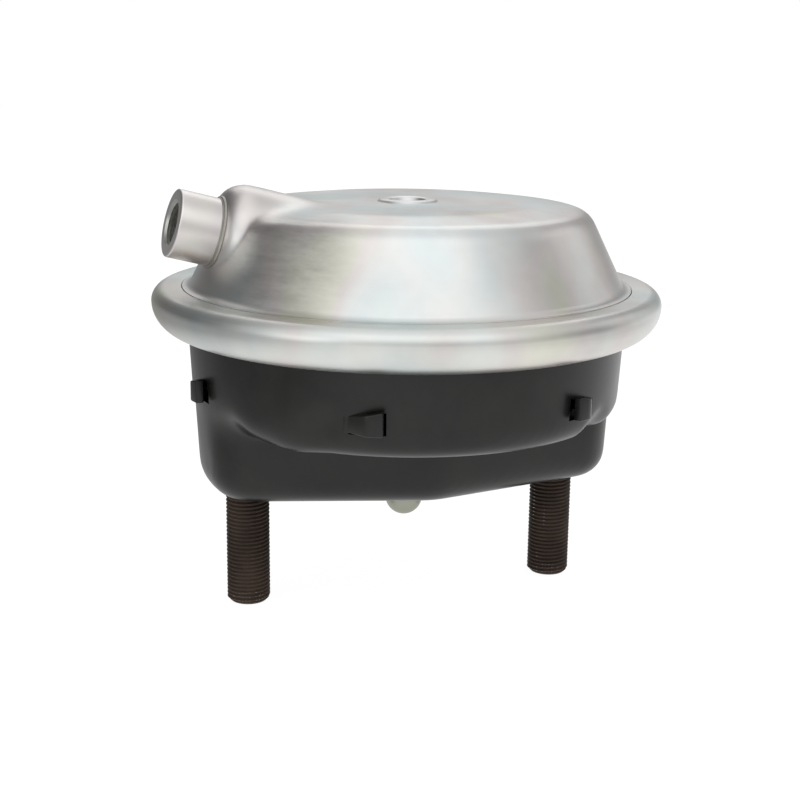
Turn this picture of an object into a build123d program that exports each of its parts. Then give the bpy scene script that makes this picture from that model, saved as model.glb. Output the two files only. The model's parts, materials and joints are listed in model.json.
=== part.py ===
from build123d import *
import math
import os

# Air brake chamber for a disc brake, in millimetres.
# The origin is the middle of the mounting face, half way between the two studs.
# +Z points up through the pressure cover, and the studs lie along X.
# Air in the cover pushes the diaphragm, push plate and pushrod down, out of the foot.

# ---------------------------------------------------------------- sizes: studs and foot
stud_spacing = 120.65
stud_r = 8.0
stud_reach = 43.6
stud_end_chamfer = 1.4
stud_head_flats = 24.0
stud_head_height = 8.0
stud_neck_r = 8.3
stud_hole_clearance = 0.1

foot_depth = 27.4
foot_half_width = 42.0
foot_narrowing = 0.24
foot_corner_radius = 17.0
foot_side_radius = 25.0
foot_edge_radius = 10.0
stud_plate_thickness = 4.0
stud_plate_edge_radius = 3.9

# ---------------------------------------------------------------- sizes: housing bowl
housing_sheet = 3.0
stud_wall_margin = 16.575
wall_r = stud_spacing / 2 + stud_wall_margin
wall_draft = 3.1
bowl_edge_radius = 8.0
lip_bend_radius = 1.5

vent_azimuths = (-172.0, -116.0, -58.0, 8.0, 64.0, 122.0)
vent_mirrored = (False, False, True, False, False, True)
vent_height = 9.0
vent_drop = 2.5
vent_length = 12.5
vent_z = 41.0
vent_lift = 4.5
vent_ramp_length = 5.0
vent_shear_gap = 0.5

# ---------------------------------------------------------------- sizes: rolled rim
ring_stand_out = 16.1
ring_r = wall_r + ring_stand_out
ring_sheet = 2.5
ring_roll_radius = 10.9
ring_shoulder_radius = 5.0
rim_seat_gap = 0.4
ring_lip_gap = 1.2
ring_lip_chamfer = 1.5
flange_edge_gap = 0.3

# ---------------------------------------------------------------- sizes: diaphragm
diaphragm_sheet = 3.0
diaphragm_bead = 4.8
diaphragm_gap = 0.8
diaphragm_bend_radius = 4.0
diaphragm_crown_radius = 6.0

# ---------------------------------------------------------------- sizes: pressure cover
cover_sheet = 2.8
cover_stand_out = 3.9
cover_foot_r = wall_r + cover_stand_out
cover_rise = 32.5
cover_cone_angle = 26.3
cover_bend_radius = 2.0
cover_shoulder_radius = 8.8
crown_flat_inset = 33.8
crown_flat_r = cover_foot_r - crown_flat_inset
crown_slope = 0.12
crown_blend_radius = 30.0
plug_hole_r = 7.0
plug_flange_r = 11.0
plug_flange_thickness = 1.0
plug_edge_radius = 0.8
plug_dish_r = 5.4
plug_dish_depth = 1.8

# ---------------------------------------------------------------- sizes: air port
port_azimuth = 183.7
port_tilt = 14.5
port_stand_out = 6.2
port_face_r = cover_foot_r + port_stand_out
port_drop = 5.2
port_r = 12.0
port_length = 15.3
port_thread_r = 8.0
port_thread_core_r = 7.19
port_passage_r = 4.5
port_edge_chamfer = 0.6
port_weld_size = 1.3
bump_r = 19.3
bump_depth = 55.0
bump_edge_radius = 9.0

# ---------------------------------------------------------------- sizes: pushrod and plate
stroke = 57.0
stroke_reserve = 1.34
plate_inset = 23.8
plate_r = cover_foot_r - plate_inset
plate_sheet = 4.0
plate_rim_depth = 6.5
plate_edge_radius = 5.0
rod_r = 8.0
rod_reach = 15.0
nose_r = 7.0
nose_taper_length = 3.0
rod_weld_size = 4.0
collar_r = 11.5
collar_length = 8.0
collar_drop = 7.5
soft_clearance = 0.3

# ---------------------------------------------------------------- sizes: boot, seat and spring
rod_hole_r = 26.0
seal_width = 2.6
seal_clearance = 0.1
seal_stand_out = 0.8
seal_top_gap = 0.5
boot_neck_wall = 2.7
boot_flange_r = 34.0
boot_flange_thickness = 2.5
boot_wall = 1.8
boot_ring_wall = 1.4
boot_lower_gap = 0.5
boot_fold_outer_r = 25.0
boot_fold_inner_r = 14.5
boot_folds = 6
boot_lip_wall = 2.5
boot_lip_length = 6.0
boot_bend_radius = 2.16
clip_wall = 1.4
clip_height = 2.6

spring_seat_gap = 1.0
spring_seat_r = foot_half_width - housing_sheet - spring_seat_gap
spring_seat_sheet = 2.0
spring_collar_height = 8.0
spring_wire_r = 2.25
spring_base_inset = 2.25
spring_base_r = spring_seat_r - spring_wire_r - spring_base_inset
spring_top_gap = 1.75
spring_top_r = plate_r - plate_sheet - spring_wire_r - spring_top_gap
spring_side_gap = 0.75
spring_turns = 7
spring_straight_turns = 2.3
spring_widening_turns = 4.0
spring_points_per_turn = 16
spring_end_crowding = 0.3

# ---------------------------------------------------------------- heights worked out from the sizes
draft_slope = math.tan(math.radians(wall_draft))
cone_slope = math.tan(math.radians(cover_cone_angle))

# the crown slopes down from its flat middle to meet the cone
crown_foot_r = cover_foot_r - cone_slope * (cover_rise + crown_slope * crown_flat_r)
crown_edge_r = crown_foot_r / (1 - cone_slope * crown_slope)
crown_drop = crown_slope * (crown_edge_r - crown_flat_r)

# the rim stands high enough for the plate to make its whole stroke above the bowl floor
rim_stack = ring_sheet + rim_seat_gap + housing_sheet + diaphragm_bead
plate_rise = cover_rise - crown_drop - diaphragm_gap / 2 - diaphragm_sheet - soft_clearance
plate_low_top_z = foot_depth + housing_sheet + stroke_reserve + plate_rim_depth
rim_height = plate_low_top_z + stroke - plate_rise - rim_stack

housing_flange_bottom = rim_height + ring_sheet + rim_seat_gap
housing_flange_top = housing_flange_bottom + housing_sheet
cover_flange_bottom = rim_height + rim_stack
cover_flange_top = cover_flange_bottom + cover_sheet
ring_top = cover_flange_top + ring_sheet
crown_z = cover_flange_top + cover_rise
crown_edge_z = crown_z - crown_drop

diaphragm_crown_z = crown_edge_z - cover_sheet - diaphragm_gap / 2
plate_top_z = cover_flange_bottom + plate_rise
plate_under_z = plate_top_z - plate_sheet
collar_top_z = plate_under_z - collar_drop
collar_bottom_z = collar_top_z - collar_length

stud_plate_top_z = housing_sheet + stud_plate_thickness
boot_flange_top_z = stud_plate_top_z + boot_flange_thickness
spring_floor_z = boot_flange_top_z + spring_seat_sheet
seal_inner_r = rod_hole_r - seal_clearance - seal_width
boot_neck_r = seal_inner_r - seal_clearance
boot_bore_r = boot_neck_r - boot_neck_wall


def wall_radius(z):
    """Outer radius of the drawn housing wall at height z."""
    return wall_r + draft_slope * z


def roll_radius_at(z):
    """Inner radius of the rolled lower half of the clamp ring at height z."""
    centre_r = ring_r - ring_roll_radius
    centre_z = rim_height + ring_roll_radius
    inner = ring_roll_radius - ring_sheet
    return centre_r + math.sqrt(inner**2 - (centre_z - z) ** 2)


# ---------------------------------------------------------------- helpers
def in_section(points):
    """Points (radius, height) placed in the XZ plane."""
    return [(r, 0, z) for r, z in points]


def turned(points):
    """Solid turned about Z from a closed outline of (radius, height) points."""
    return revolve(make_face(Polyline(*in_section(points), close=True)), Axis.Z)


def rounded_line(points, radii):
    """Open line through (radius, height) points with its inner corners rounded."""
    return FilletPolyline(*in_section(points), radius=radii)


def turned_under(points, radii):
    """Solid turned about Z from everything between a rounded line and the axis or floor line."""
    line = rounded_line(points, radii)
    closing = Line(line @ 1, line @ 0)
    return revolve(make_face(Wire([*line.edges(), *closing.edges()])), Axis.Z)


def parallel_points(points, distance):
    """Points of the line that runs at a distance on the right of a line."""
    normals = []
    for (r0, z0), (r1, z1) in zip(points, points[1:]):
        length = math.hypot(r1 - r0, z1 - z0)
        normals.append(((z1 - z0) / length, (r0 - r1) / length))
    moved = []
    for i, (r, z) in enumerate(points):
        ar, az = normals[max(i - 1, 0)]
        br, bz = normals[min(i, len(normals) - 1)]
        reach = distance / (1 + ar * br + az * bz)
        moved.append((r + reach * (ar + br), z + reach * (az + bz)))
    return moved


def parallel_radii(points, radii, distance):
    """Bend radii on the far side of a sheet: smaller at right turns, larger at left turns."""
    changed = []
    for (ar, az), (br, bz), (cr, cz), radius in zip(points, points[1:], points[2:], radii):
        turn = (br - ar) * (cz - bz) - (bz - az) * (cr - br)
        changed.append(max(radius + math.copysign(distance, turn), 0))
    return changed


def turned_sheet(points, radii, thickness):
    """Sheet turned about Z, with its outside on a rounded line and its wall on the right of it."""
    outside = rounded_line(points, radii)
    inside = rounded_line(parallel_points(points, thickness), parallel_radii(points, radii, thickness))
    ends = [Line(outside @ 0, inside @ 0), Line(outside @ 1, inside @ 1)]
    return revolve(make_face(Wire([*outside.edges(), *inside.edges(), *ends])), Axis.Z)


def ring(inner_r, outer_r, bottom_z, top_z):
    """Plain ring about Z."""
    return turned([(inner_r, bottom_z), (outer_r, bottom_z), (outer_r, top_z), (inner_r, top_z)])


def circles_at(solid, z):
    """Round edges of a solid that lie at one height."""
    return solid.edges().filter_by(GeomType.CIRCLE).filter_by(lambda e: abs(e.center().Z - z) < 0.1)


# ---------------------------------------------------------------- pressed housing
def foot_outline(inset):
    """Outline of the foot at the mounting face: round ends and two slightly bent long sides."""
    side = foot_half_width - inset
    end = wall_r - inset
    tip = side / foot_narrowing
    kite = make_face(Polyline((tip, 0), (0, side), (-tip, 0), (0, -side), close=True))
    outline = kite & Circle(end)
    ends = [v for v in outline.vertices() if abs(v.X) > stud_spacing / 2]
    outline = fillet(ends, foot_corner_radius - inset)
    sides = [v for v in outline.vertices() if abs(v.X) < stud_spacing / 4]
    return fillet(sides, foot_side_radius - inset)


def foot_form(inset, top_z):
    """Solid foot, drawn in by an inset, with the same draft as the bowl wall."""
    block = extrude(foot_outline(inset), top_z, taper=-wall_draft)
    block = fillet(block.edges().group_by(Axis.Z)[0], foot_edge_radius - inset)
    return Pos(0, 0, inset) * block if inset else block


def bowl_form(inset, top_z):
    """Solid bowl above the foot, drawn in by an inset."""
    bottom = foot_depth + inset
    bottom_r = wall_radius(bottom) - inset
    top_r = wall_radius(top_z) - inset
    points = [(0, bottom), (bottom_r, bottom), (top_r, top_z), (0, top_z)]
    return turned_under(points, [bowl_edge_radius - inset, 0])


def vent_frame(azimuth, mirrored):
    """Frame on the wall surface at a vent: X along the wall from hinge to free end, Z outwards."""
    a = math.radians(azimuth)
    outwards = Vector(math.cos(a), math.sin(a), 0)
    along = Vector(-math.sin(a), math.cos(a), 0)
    if mirrored:
        along = along * -1
    return Plane(origin=outwards * wall_radius(vent_z) + Vector(0, 0, vent_z), x_dir=along, z_dir=outwards)


def vent_outline(mirrored, root, gap):
    """Outline of a vent on the wall: its upper edge drops towards the hinge."""
    up = -1 if mirrored else 1
    hinge = -vent_length / 2 - root
    free = vent_length / 2 - gap
    low = gap - vent_height / 2
    high = vent_height / 2 - gap
    points = [(hinge, low * up), (free, low * up), (free, high * up), (hinge, (high - vent_drop) * up)]
    return make_face(Polyline(*points, close=True))


def vent_window(azimuth, mirrored):
    """Opening left in the wall when the vent tab is sheared and pushed out."""
    depth = 2 * housing_sheet
    return vent_frame(azimuth, mirrored) * extrude(vent_outline(mirrored, 0, 0), depth, both=True)


def vent_tab(azimuth, mirrored):
    """Tab of the wall's own sheet: it rises from its hinge and then runs level with the wall."""
    root = housing_sheet / 2
    hinge = -vent_length / 2
    crest = hinge + vent_ramp_length
    outside = [(hinge - root, 0), (hinge, 0), (crest, vent_lift), (vent_length, vent_lift)]
    inside = parallel_points(outside, housing_sheet)
    profile = make_face(Polyline(*[(x, 0, z) for x, z in outside + inside[::-1]], close=True))
    strip = extrude(profile, vent_height, both=True)
    blank = extrude(vent_outline(mirrored, root, vent_shear_gap), 4 * vent_lift, both=True)
    return vent_frame(azimuth, mirrored) * (strip & blank)


def housing():
    """Black pressed housing: bowl, mounting foot, outward flange, vents, rod hole and stud holes."""
    flange_r = roll_radius_at(housing_flange_bottom) - flange_edge_gap
    outer = bowl_form(0, housing_flange_top) + foot_form(0, foot_depth + bowl_edge_radius)
    outer += ring(wall_r / 2, flange_r, housing_flange_bottom, housing_flange_top)
    inner_top = housing_flange_top + housing_sheet
    inner = bowl_form(housing_sheet, inner_top) + foot_form(housing_sheet, foot_depth + bowl_edge_radius)
    shell = outer - inner
    lip = circles_at(shell, housing_flange_top).sort_by(SortBy.RADIUS)[0]
    shell = fillet(lip, housing_sheet + lip_bend_radius)
    for azimuth, mirrored in zip(vent_azimuths, vent_mirrored):
        shell -= vent_window(azimuth, mirrored)
    for azimuth, mirrored in zip(vent_azimuths, vent_mirrored):
        shell += vent_tab(azimuth, mirrored)
    shell -= Cylinder(rod_hole_r, 4 * housing_sheet)
    shell -= stud_holes(4 * housing_sheet)
    return shell


# ---------------------------------------------------------------- studs and their plate
def at_studs():
    """The two stud places on the X axis."""
    return [Pos(-stud_spacing / 2, 0, 0), Pos(stud_spacing / 2, 0, 0)]


def stud_holes(depth):
    """Cylinders that cut the two stud holes."""
    left, right = [place * Cylinder(stud_neck_r + stud_hole_clearance, depth) for place in at_studs()]
    return left + right


def stud_plate():
    """Stiffening plate inside the foot, seated in its rounded floor under the stud heads."""
    inset = foot_edge_radius - stud_plate_edge_radius
    plate = extrude(foot_outline(inset), stud_plate_thickness)
    plate = fillet(plate.edges().group_by(Axis.Z)[0], stud_plate_edge_radius)
    plate = Pos(0, 0, housing_sheet) * plate
    plate -= Cylinder(rod_hole_r, 4 * stud_plate_top_z)
    return plate - stud_holes(4 * stud_plate_top_z)


def stud(place):
    """Stud with a hexagon head inside the foot, a pressed-in neck and a chamfered end."""
    shank = Pos(0, 0, -stud_reach / 2) * Cylinder(stud_r, stud_reach)
    shank = chamfer(shank.edges().group_by(Axis.Z)[0], stud_end_chamfer)
    neck = Pos(0, 0, stud_plate_top_z / 2) * Cylinder(stud_neck_r, stud_plate_top_z)
    hexagon = RegularPolygon(stud_head_flats / 2, 6, major_radius=False, rotation=30)
    head = extrude(Pos(0, 0, stud_plate_top_z) * hexagon, stud_head_height)
    return place * (shank + neck + head)


# ---------------------------------------------------------------- rolled rim and diaphragm
def clamp_ring():
    """Rolled ring that grips the flanges of cover and housing with the diaphragm between them."""
    lower_lip_r = wall_radius(rim_height) + ring_lip_gap
    upper_lip_r = cover_foot_r + rim_seat_gap
    points = [(upper_lip_r, ring_top), (ring_r, ring_top), (ring_r, rim_height), (lower_lip_r, rim_height)]
    rolled = turned_sheet(points, [ring_shoulder_radius, ring_roll_radius], ring_sheet)
    lip_edge = circles_at(rolled, cover_flange_top).sort_by(SortBy.RADIUS)[0]
    return chamfer(lip_edge, ring_lip_chamfer)


def diaphragm():
    """Moulded rubber diaphragm: clamped bead, cone along the cover and flat crown on the push plate."""
    bead_r = roll_radius_at(housing_flange_top) - flange_edge_gap
    cone_gap = (cover_sheet + diaphragm_gap) / math.cos(math.radians(cover_cone_angle))
    cone_foot_r = cover_foot_r - cone_gap + cone_slope * cover_sheet
    cone_top_r = cone_foot_r - cone_slope * (diaphragm_crown_z - cover_flange_bottom)
    points = [(0, diaphragm_crown_z), (cone_top_r, diaphragm_crown_z)]
    points += [(cone_foot_r, cover_flange_bottom), (bead_r, cover_flange_bottom)]
    web = turned_sheet(points, [diaphragm_crown_radius, diaphragm_bend_radius], diaphragm_sheet)
    bead_inner_r = cone_foot_r + diaphragm_bend_radius / 2
    bead_top_z = cover_flange_bottom - diaphragm_sheet / 2
    return web + ring(bead_inner_r, bead_r, housing_flange_top, bead_top_z)


# ---------------------------------------------------------------- pressure cover and air port
def cover_outline(inset):
    """Outer line of the cover from its flange over the cone to the crown, drawn in by an inset."""
    cone_inset = inset / math.cos(math.radians(cover_cone_angle))
    foot_r = cover_foot_r - cone_inset
    edge_r = crown_edge_r - cone_inset + cone_slope * inset
    top = crown_z - inset
    return [(foot_r, cover_flange_top), (edge_r, crown_edge_z - inset), (crown_flat_r, top), (0, top)]


def dome_form(inset, bottom_z):
    """Solid dome of the cover, drawn in by an inset and closed below at bottom_z."""
    points = cover_outline(inset)
    foot_r = points[0][0] + cone_slope * (cover_flange_top - bottom_z)
    points = [(foot_r, bottom_z), *points[1:], (0, bottom_z)]
    return turned_under(points, [cover_shoulder_radius - inset, crown_blend_radius - inset, 0])


def port_frame():
    """Frame at the centre of the port's mouth, with Z along its axis, pointing out of it."""
    a = math.radians(port_azimuth)
    t = math.radians(port_tilt)
    axis = Vector(math.cos(t) * math.cos(a), math.cos(t) * math.sin(a), math.sin(t))
    mouth = Vector(port_face_r * math.cos(a), port_face_r * math.sin(a), crown_z - port_drop)
    return Plane(origin=mouth, x_dir=(-math.sin(a), math.cos(a), 0), z_dir=axis)


def bump_form(inset):
    """Pressed bump that gives the port a flat seat square to its axis."""
    start = port_length + inset
    length = bump_depth - start
    bump = Pos(0, 0, -start - length / 2) * Cylinder(bump_r - inset, length)
    bump = fillet(bump.edges().group_by(Axis.Z)[-1], bump_edge_radius - inset)
    return port_frame() * bump


def pressure_cover():
    """Zinc plated pressed cover with its flange, domed crown, port bump and plug hole."""
    flange_r = ring_r - ring_shoulder_radius - flange_edge_gap
    outer = dome_form(0, cover_flange_bottom) + bump_form(0)
    inner = dome_form(cover_sheet, cover_flange_bottom - bump_r) + bump_form(cover_sheet)
    outer += ring(cover_foot_r / 2, flange_r, cover_flange_bottom, cover_flange_top)
    shell = outer - inner
    foot = circles_at(shell, cover_flange_top).sort_by(SortBy.RADIUS)[0]
    shell = fillet(foot, cover_bend_radius)
    mouth = circles_at(shell, cover_flange_bottom).sort_by(SortBy.RADIUS)[0]
    shell = fillet(mouth, cover_bend_radius + cover_sheet)
    shell -= Pos(0, 0, crown_z) * Cylinder(plug_hole_r, 4 * cover_sheet)
    return shell - port_frame() * Pos(0, 0, -port_length) * Cylinder(port_passage_r, 4 * cover_sheet)


def cover_plug():
    """Dished plug that closes the pilot hole in the middle of the crown."""
    top = crown_z + plug_flange_thickness
    plug = ring(0, plug_hole_r, crown_z - cover_sheet, crown_z) + ring(0, plug_flange_r, crown_z, top)
    rim = plug.edges().group_by(Axis.Z)[-1]
    plug = fillet(rim, plug_edge_radius)
    dish = Pos(0, 0, top - plug_dish_depth / 2) * Cylinder(plug_dish_r, plug_dish_depth)
    return plug - dish


def port_boss():
    """Turned boss with the air thread, tapped right through and chamfered at its mouth."""
    boss = Pos(0, 0, -port_length / 2) * Cylinder(port_r, port_length)
    boss = chamfer(boss.edges().group_by(Axis.Z)[-1], port_edge_chamfer)
    boss -= Pos(0, 0, -port_length / 2) * Cylinder(port_thread_core_r, 2 * port_length)
    lead_in = port_thread_r - port_thread_core_r
    mouth = boss.edges().filter_by(GeomType.CIRCLE).group_by(Axis.Z)[-1].sort_by(SortBy.RADIUS)[0]
    return port_frame() * chamfer(mouth, lead_in)


def port_weld():
    """Thin weld collar where the boss meets its seat on the cover."""
    seat = -port_length
    outline = [(port_r, seat), (port_r + port_weld_size, seat), (port_r, seat + port_weld_size)]
    return port_frame() * turned(outline)


# ---------------------------------------------------------------- push plate and pushrod
def push_plate():
    """Pressed plate with a turned down rim, which the diaphragm pushes on."""
    points = [(0, plate_top_z), (plate_r, plate_top_z), (plate_r, plate_top_z - plate_rim_depth)]
    return turned_sheet(points, [plate_edge_radius], plate_sheet)


def pushrod():
    """Steel pushrod from the plate down to its round nose."""
    nose_z = nose_r - rod_reach
    shoulder_z = nose_z + nose_taper_length
    outline = [(0, nose_z), (nose_r, nose_z), (rod_r, shoulder_z), (rod_r, plate_under_z), (0, plate_under_z)]
    return turned(outline) + Pos(0, 0, nose_z) * Sphere(nose_r)


def rod_weld():
    """Fillet weld that joins the rod to the underside of the plate."""
    toe_r = rod_r + rod_weld_size
    toe_z = plate_under_z - rod_weld_size
    return turned([(rod_r, plate_under_z), (toe_r, plate_under_z), (rod_r, toe_z)])


def rod_collar():
    """Collar pressed on the rod, which the upper lip of the boot grips."""
    return ring(rod_r, collar_r, collar_bottom_z, collar_top_z)


# ---------------------------------------------------------------- boot and seal
def boot_lip_top():
    """Height of the top of the boot's upper lip."""
    return collar_bottom_z + boot_lip_length + (collar_length - boot_lip_length) / 2


def boot():
    """Rubber bellows between the rod collar and the rod hole, with a clamped flange and a neck."""
    lip_inner = collar_r + soft_clearance
    lip_top = boot_lip_top()
    lip_bottom = lip_top - boot_lip_length
    fold_bottom = boot_flange_top_z + boot_wall
    pitch = (lip_bottom - fold_bottom) / boot_folds
    line = [(lip_inner + boot_lip_wall, lip_top), (lip_inner + boot_lip_wall, lip_bottom)]
    for i in range(boot_folds):
        line.append((boot_fold_outer_r, lip_bottom - (i + 0.5) * pitch))
        if i < boot_folds - 1:
            line.append((boot_fold_inner_r + boot_wall, lip_bottom - (i + 1) * pitch))
    line += [(boot_neck_r, fold_bottom), (boot_neck_r, stud_plate_top_z)]
    folds = turned_sheet(line, [boot_bend_radius] * (len(line) - 2), boot_wall)
    lip = ring(lip_inner, lip_inner + boot_lip_wall, lip_bottom, lip_top)
    neck = ring(boot_bore_r, boot_neck_r, boot_lower_gap, boot_flange_top_z)
    flange = ring(boot_bore_r, boot_flange_r, stud_plate_top_z, boot_flange_top_z)
    return folds + lip + neck + flange


def boot_ring():
    """Steel ring inside the boot's neck, which holds it open in the rod hole."""
    outer = boot_bore_r
    return ring(outer - boot_ring_wall, outer, boot_lower_gap, boot_flange_top_z)


def boot_clip():
    """Spring band that clamps the boot's upper lip on the rod collar."""
    inner = collar_r + 2 * soft_clearance + boot_lip_wall
    middle = boot_lip_top() - boot_lip_length / 2
    return ring(inner, inner + clip_wall, middle - clip_height / 2, middle + clip_height / 2)


def mounting_seal():
    """Rubber seal round the rod hole, standing a little proud of the mounting face."""
    seal = ring(seal_inner_r, seal_inner_r + seal_width, -seal_stand_out, stud_plate_top_z - seal_top_gap)
    return fillet(seal.edges().group_by(Axis.Z)[0], seal_stand_out)


# ---------------------------------------------------------------- return spring
def spring_seat():
    """Pressed ring that centres the spring and clamps the boot's flange on the stud plate."""
    collar_r_out = spring_base_r - spring_wire_r - spring_side_gap
    collar_top = boot_flange_top_z + spring_seat_sheet + spring_collar_height
    inner_r = collar_r_out - spring_seat_sheet
    points = [(inner_r, boot_flange_top_z), (spring_seat_r, boot_flange_top_z)]
    points += [(spring_seat_r, spring_floor_z), (collar_r_out, spring_floor_z)]
    points += [(collar_r_out, collar_top), (inner_r, collar_top)]
    return turned(points)


def spring_height(turn):
    """Height of the wire's centre after so many turns; the first and last turn lie flat."""
    low = spring_floor_z + soft_clearance + spring_wire_r
    high = plate_under_z - soft_clearance - spring_wire_r
    part = min(max((turn - 1) / (spring_turns - 2), 0), 1)
    crowding = spring_end_crowding * math.sin(2 * math.pi * part) / (2 * math.pi)
    return low + (high - low) * (part - crowding)


def return_spring():
    """Conical return spring, small on its seat and wide under the push plate."""
    points = []
    for i in range(spring_turns * spring_points_per_turn + 1):
        turn = i / spring_points_per_turn
        widening = min(max((turn - spring_straight_turns) / spring_widening_turns, 0), 1)
        radius = spring_base_r + (spring_top_r - spring_base_r) * widening
        a = 2 * math.pi * turn
        points.append((radius * math.cos(a), radius * math.sin(a), spring_height(turn)))
    path = Spline(*points)
    wire = Plane(path @ 0, z_dir=path % 0) * Circle(spring_wire_r)
    return sweep(wire, path=path)


# ---------------------------------------------------------------- write the parts
parts = {
    "housing": housing(),
    "stud_plate": stud_plate(),
    "stud_left": stud(at_studs()[0]),
    "stud_right": stud(at_studs()[1]),
    "clamp_ring": clamp_ring(),
    "diaphragm": diaphragm(),
    "pressure_cover": pressure_cover(),
    "cover_plug": cover_plug(),
    "port_boss": port_boss(),
    "port_weld": port_weld(),
    "push_plate": push_plate(),
    "pushrod": pushrod(),
    "rod_weld": rod_weld(),
    "rod_collar": rod_collar(),
    "boot": boot(),
    "boot_ring": boot_ring(),
    "boot_clip": boot_clip(),
    "mounting_seal": mounting_seal(),
    "spring_seat": spring_seat(),
    "return_spring": return_spring(),
}

os.makedirs("parts", exist_ok=True)
for name, solid in parts.items():
    export_step(solid, f"parts/{name}.step")
    print(name, round(solid.volume, 1))
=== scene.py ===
# %% [markdown]
# # Air brake chamber
# A brake chamber turns air pressure into a push. Air enters the zinc plated cover at the top and presses a
# rubber diaphragm down, which drives a steel rod out of the black housing's foot.
# The lesson starts from the finished solid model, which gives every place and size, and dresses it: the parts
# that show are modelled again with the softness of pressed steel, and everything gets its own finish.

import json
import math

import bmesh
import bpy
from mathutils import Euler, Matrix, Vector


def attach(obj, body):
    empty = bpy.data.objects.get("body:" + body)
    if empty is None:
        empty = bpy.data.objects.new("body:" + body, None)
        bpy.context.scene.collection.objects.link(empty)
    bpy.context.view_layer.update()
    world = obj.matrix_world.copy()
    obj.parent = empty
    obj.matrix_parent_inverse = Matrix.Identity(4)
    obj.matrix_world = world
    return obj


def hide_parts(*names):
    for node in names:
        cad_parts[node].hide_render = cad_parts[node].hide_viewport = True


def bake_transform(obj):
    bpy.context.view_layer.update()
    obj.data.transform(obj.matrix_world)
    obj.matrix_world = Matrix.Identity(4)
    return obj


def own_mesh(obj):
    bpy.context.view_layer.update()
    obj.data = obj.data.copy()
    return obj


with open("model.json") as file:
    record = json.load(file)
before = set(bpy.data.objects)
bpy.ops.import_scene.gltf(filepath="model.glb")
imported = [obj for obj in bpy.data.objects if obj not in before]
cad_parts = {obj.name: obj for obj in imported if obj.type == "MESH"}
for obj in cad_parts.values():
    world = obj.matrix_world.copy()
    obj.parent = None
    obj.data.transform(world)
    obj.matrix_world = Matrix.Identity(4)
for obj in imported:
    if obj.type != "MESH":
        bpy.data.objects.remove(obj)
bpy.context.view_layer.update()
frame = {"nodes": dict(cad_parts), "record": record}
print("nodes:", len(frame["nodes"]))

# %% [markdown]
# ## Sizes
# All sizes are in millimetres, because that is how a drawing gives them, and `MM` turns them into Blender's
# metres. They are the same values that the solid model was built from.

# %% Sizes of the chamber
MM = 0.001
SHEET = 3.0
WALL_R = 76.9
WALL_DRAFT = math.tan(math.radians(3.1))
FOOT_DEPTH = 27.4
RIM_Z = 58.0
FLANGE_Z = 60.9
COVER_FLANGE_Z = 68.7
COVER_FLANGE_TOP = 71.5
RING_TOP = 74.0
CROWN_Z = 104.0
STUD_X = 60.325
STUD_R = 8.0
STUD_NECK_R = 8.3
STUD_END_Z = -43.6
PORT_AZIMUTH = math.radians(183.7)
PORT_TILT = math.radians(14.5)
PORT_LENGTH = 15.3
BUMP_R = 19.3


def wall_radius(z):
    """Outer radius of the bowl's wall, which leans out a little so that the press tool comes free."""
    return WALL_R + WALL_DRAFT * z


print("rim above the mounting face:", RIM_Z, "mm")

# %% [markdown]
# ## The camera
# The camera is a short telephoto, half a metre away, which keeps the round rim from looking stretched. It
# looks down about 14 degrees, and stands 17 degrees round from the front, so that one stud is nearer than the
# other. Its three turns are in radians: down, round, and a slight roll.

# %% Camera
LENS = 65.716
SENSOR = 36.0
CAMERA_PLACE = (-0.15785, -0.50945, 0.16009)
LOOK_DOWN = 0.2403
LOOK_ROUND = -0.2970
LOOK_ROLL = 0.0129
camera_data = bpy.data.cameras.new("camera")
camera_data.lens = LENS
camera_data.sensor_width = SENSOR
camera_data.clip_start = 0.01
camera = bpy.data.objects.new("camera", camera_data)
bpy.context.scene.collection.objects.link(camera)
camera.location = CAMERA_PLACE
look = Euler((math.pi / 2 - LOOK_DOWN, 0, LOOK_ROUND)).to_matrix() @ Matrix.Rotation(LOOK_ROLL, 3, "Z")
camera.rotation_euler = look.to_euler()
bpy.context.scene.camera = camera
bpy.context.scene.view_settings.view_transform = "Standard"
print("camera:", tuple(round(v, 3) for v in camera.location))

# %% [markdown]
# ## Tools for turned and pressed shapes
# Most of the chamber is turned or drawn about one axis. A lathe shape starts as one corner point, which is
# extruded along the section and spun round the axis. Rounded corners are worked out first, so that the
# section already has its real radii.

# %% Selecting and editing
def start_piece():
    """Leaves edit mode and deselects everything, because an operator acts on all that is selected."""
    if bpy.context.mode != "OBJECT":
        bpy.ops.object.mode_set(mode="OBJECT")
    bpy.ops.object.select_all(action="DESELECT")


def pick(piece):
    """Makes one piece the only selected and active one."""
    start_piece()
    piece.select_set(True)
    bpy.context.view_layer.objects.active = piece
    return piece


def finish_primitive(name):
    """Names the primitive just added and puts its place and turn into its mesh."""
    piece = bpy.context.active_object
    piece.name = name
    piece.data.name = name
    bpy.ops.object.transform_apply(location=True, rotation=True, scale=True)
    return piece


def apply_modifier(piece, kind, **settings):
    """Adds one modifier, sets it up and applies it."""
    pick(piece)
    modifier = piece.modifiers.new(kind.lower(), kind)
    for key, value in settings.items():
        setattr(modifier, key, value)
    bpy.ops.object.modifier_apply(modifier=modifier.name)
    return piece


def wear_edges(piece, width, degrees):
    """Rounds the edges where faces meet at more than an angle, by a width in mm."""
    angle = math.radians(degrees)
    apply_modifier(piece, "BEVEL", width=width * MM, segments=3, limit_method="ANGLE", angle_limit=angle)


def combine(piece, other, operation):
    """Unites a piece with another, or cuts the other from it, and removes the other."""
    apply_modifier(piece, "BOOLEAN", object=other, operation=operation, solver="EXACT")
    bpy.data.objects.remove(other, do_unlink=True)
    return piece


def join_pieces(piece, others):
    """Joins several meshes into one piece."""
    pick(piece)
    for other in others:
        other.select_set(True)
    bpy.ops.object.join()


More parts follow.
